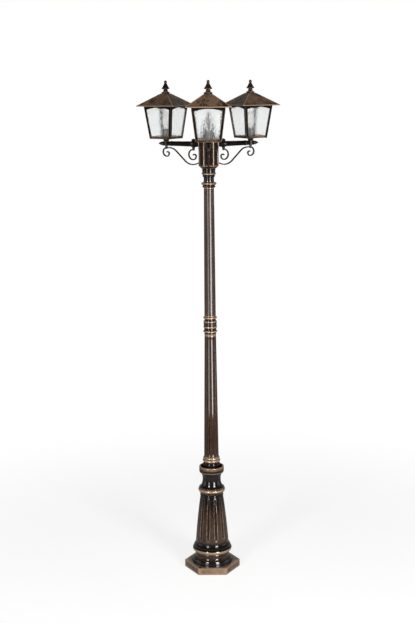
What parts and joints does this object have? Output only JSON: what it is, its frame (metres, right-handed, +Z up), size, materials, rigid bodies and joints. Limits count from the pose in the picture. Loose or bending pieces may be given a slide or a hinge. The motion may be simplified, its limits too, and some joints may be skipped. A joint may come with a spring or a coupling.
{
  "type": "street lamp",
  "caption": "Tall fluted lamp post on a hexagonal foot, with scrolled arms carrying square tapered glass lanterns under low pyramid roofs.",
  "frame": {"origin": "on the post's axis at the ground face of the hexagonal foot", "axes": "+Z up along the post, -Y along the front arm, +X to the right seen from the front"},
  "size_m": [0.6864, 0.5944, 2.4],
  "materials": {
    "black_cast": "satin",
    "bronze_cast": "satin",
    "steel": "satin",
    "clear_glass": "gloss",
    "opal_glass": "satin",
    "brass_cap": "polished",
    "holder_plastic": "matte"
  },
  "bodies": {
    "post": {"base": "black_cast", "shaft_collar": "black_cast", "lower_shaft": "bronze_cast", "mid_coupling": "black_cast", "upper_shaft": "bronze_cast", "neck_capital": "black_cast", "hub": "black_cast", "hub_lid": "bronze_cast", "tie_tube": "steel", "tie_nuts": "steel", "tie_washers": "steel", "arm_bolts": "steel", "arm_front": "black_cast", "arm_right": "black_cast", "arm_left": "black_cast", "band_front": "black_cast", "band_right": "black_cast", "band_left": "black_cast", "tip_front": "black_cast", "tip_right": "black_cast", "tip_left": "black_cast", "scroll_front": "black_cast", "scroll_right": "black_cast", "scroll_left": "black_cast", "curl_front": "black_cast", "curl_right": "black_cast", "curl_left": "black_cast", "cup_front": "black_cast", "cup_right": "black_cast", "cup_left": "black_cast", "body_front": "bronze_cast", "body_right": "bronze_cast", "body_left": "bronze_cast", "glass_front": "clear_glass", "glass_right": "clear_glass", "glass_left": "clear_glass", "holder_front": "holder_plastic", "holder_right": "holder_plastic", "holder_left": "holder_plastic"},
    "roof_front_body": {"roof_front": "bronze_cast"},
    "finial_front_body": {"finial_front": "black_cast"},
    "bulb_front_body": {"bulb_front": "opal_glass", "bulb_cap_front": "brass_cap"},
    "roof_right_body": {"roof_right": "bronze_cast"},
    "finial_right_body": {"finial_right": "black_cast"},
    "bulb_right_body": {"bulb_right": "opal_glass", "bulb_cap_right": "brass_cap"},
    "roof_left_body": {"roof_left": "bronze_cast"},
    "finial_left_body": {"finial_left": "black_cast"},
    "bulb_left_body": {"bulb_left": "opal_glass", "bulb_cap_left": "brass_cap"}
  },
  "joints": [
    {"name": "roof_front_lift", "type": "slide", "parent": "post", "child": "roof_front_body", "axis": [0, 0, 1], "range_m": [0, 0.12]},
    {"name": "finial_front_turn", "type": "hinge", "parent": "roof_front_body", "child": "finial_front_body", "pos_m": [0, -0.233, 2.346], "axis": [0, 0, 1], "continuous": true},
    {"name": "bulb_front_turn", "type": "hinge", "parent": "post", "child": "bulb_front_body", "pos_m": [0, -0.233, 2.175], "axis": [0, 0, 1], "continuous": true},
    {"name": "roof_right_lift", "type": "slide", "parent": "post", "child": "roof_right_body", "axis": [0, 0, 1], "range_m": [0, 0.12]},
    {"name": "finial_right_turn", "type": "hinge", "parent": "roof_right_body", "child": "finial_right_body", "pos_m": [0.20178, 0.1165, 2.346], "axis": [0, 0, 1], "continuous": true},
    {"name": "bulb_right_turn", "type": "hinge", "parent": "post", "child": "bulb_right_body", "pos_m": [0.20178, 0.1165, 2.175], "axis": [0, 0, 1], "continuous": true},
    {"name": "roof_left_lift", "type": "slide", "parent": "post", "child": "roof_left_body", "axis": [0, 0, 1], "range_m": [0, 0.12]},
    {"name": "finial_left_turn", "type": "hinge", "parent": "roof_left_body", "child": "finial_left_body", "pos_m": [-0.20178, 0.1165, 2.346], "axis": [0, 0, 1], "continuous": true},
    {"name": "bulb_left_turn", "type": "hinge", "parent": "post", "child": "bulb_left_body", "pos_m": [-0.20178, 0.1165, 2.175], "axis": [0, 0, 1], "continuous": true}
  ]
}
